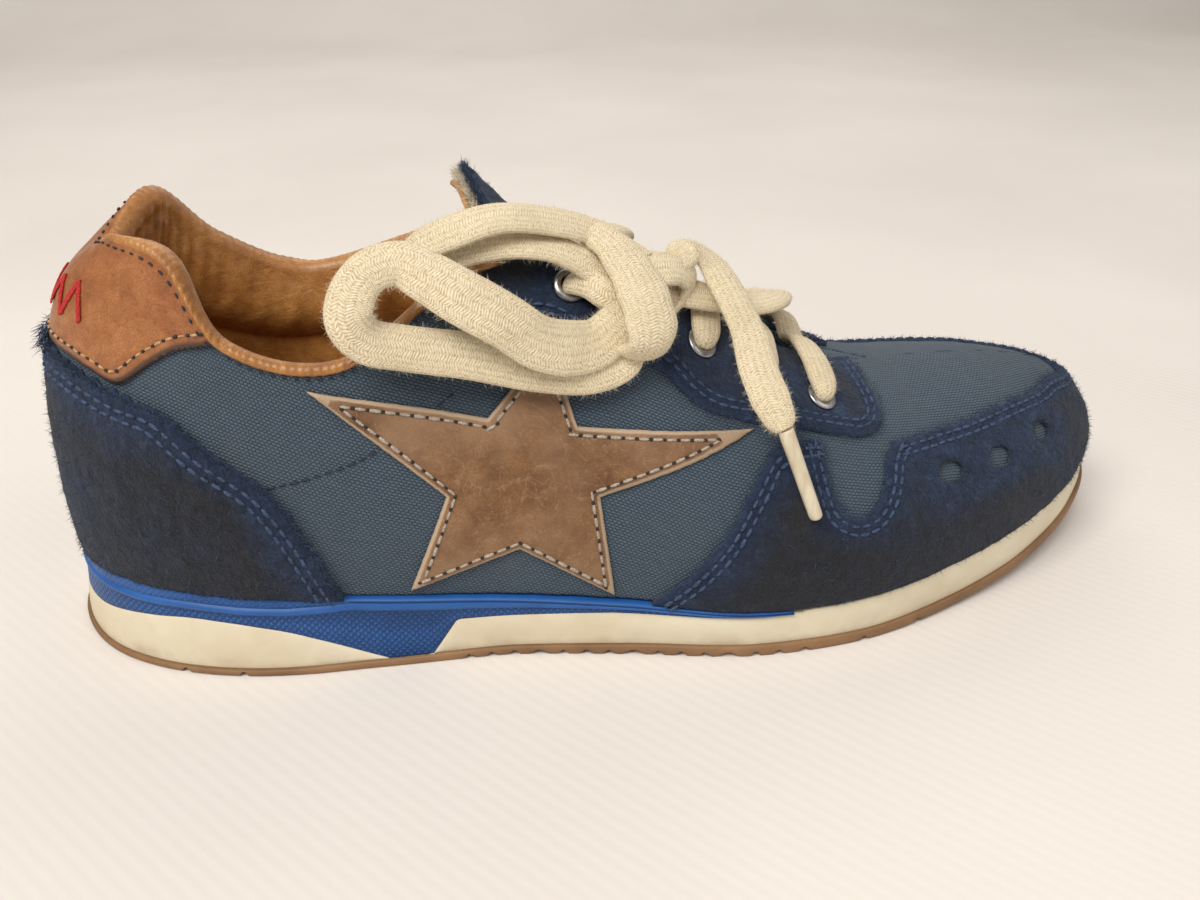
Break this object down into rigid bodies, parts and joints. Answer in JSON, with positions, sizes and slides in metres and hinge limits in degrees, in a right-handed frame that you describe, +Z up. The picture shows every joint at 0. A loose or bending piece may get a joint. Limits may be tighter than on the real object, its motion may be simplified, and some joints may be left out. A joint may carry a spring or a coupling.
{
  "type": "lace-up trainer",
  "caption": "Low lace-up canvas and suede trainer for a right foot, with a moulded wedge sole, padded collar, tied bow and a short side zip.",
  "frame": {"origin": "on the ground, under the middle of the sole's length and on its length axis", "axes": "+X to the toe, +Y to the inner (medial) side, +Z up"},
  "size_m": [0.2585, 0.0925, 0.0974],
  "materials": {
    "gum_rubber": "matte gum-brown rubber, scuffed",
    "ivory_foam": "matte ivory moulded foam rubber",
    "royal_rubber": "bright royal blue moulded rubber, finely dimpled",
    "board": "stiff fibre board",
    "footbed": "tan cloth over foam",
    "canvas": "slate blue plain-weave canvas",
    "navy_suede": "worn navy suede with frayed edges",
    "cognac_leather": "smooth cognac leather",
    "star_leather": "brushed tan leather with a pale raw edge",
    "foam": "open-cell foam",
    "tan_lining": "soft glossy tan lining leather",
    "textile_lining": "plain cloth lining",
    "nickel": "nickel-plated, lightly worn",
    "cotton_lace": "cream tubular cotton braid",
    "aglet": "cream clear-coated plastic sleeve",
    "zip_tape": "navy woven tape"
  },
  "bodies": {
    "shoe": {"outsole": "gum_rubber", "midsole_heel": "ivory_foam", "midsole_frame": "royal_rubber", "midsole_forefoot": "ivory_foam", "insole_board": "board", "footbed": "footbed", "quarter_lateral": "canvas", "quarter_medial": "canvas", "vamp": "canvas", "toe_mudguard": "navy_suede", "heel_foxing": "navy_suede", "heel_tab": "cognac_leather", "eyestay_lateral": "navy_suede", "eyestay_medial": "navy_suede", "star": "star_leather", "heel_counter": "board", "toe_puff": "board", "collar_foam": "foam", "lining_quarter": "tan_lining", "lining_vamp": "textile_lining", "topline_binding": "tan_lining", "eyelets_lateral": "nickel", "eyelets_medial": "nickel", "lace_crossings": "cotton_lace", "lace_knot": "cotton_lace", "lace_loop_near": "cotton_lace", "lace_loop_far": "cotton_lace", "lace_end_lateral": "cotton_lace", "lace_end_medial": "cotton_lace", "aglet_lateral": "aglet", "aglet_medial": "aglet", "zip_tapes": "zip_tape", "zip_teeth": "nickel", "zip_stops": "nickel"},
    "tongue": {"tongue_face": "navy_suede", "tongue_foam": "foam", "tongue_lining": "tan_lining"},
    "slider": {"zip_slider": "nickel"},
    "pull": {"zip_pull": "nickel"}
  },
  "joints": [
    {"name": "tongue_flex", "type": "hinge", "parent": "shoe", "child": "tongue", "pos_m": [0.056, 0.002, 0.043], "axis": [0, -1, 0], "range_deg": [0, 6]},
    {"name": "zip_slide", "type": "slide", "parent": "shoe", "child": "slider", "axis": [0.579, 0.01, -0.8153], "range_m": [0, 0.028]},
    {"name": "zip_pull_swing", "type": "hinge", "parent": "slider", "child": "pull", "pos_m": [-0.04127, 0.03071, 0.06903], "axis": [0.8053, -0.1636, 0.5699], "range_deg": [0, 150]}
  ]
}
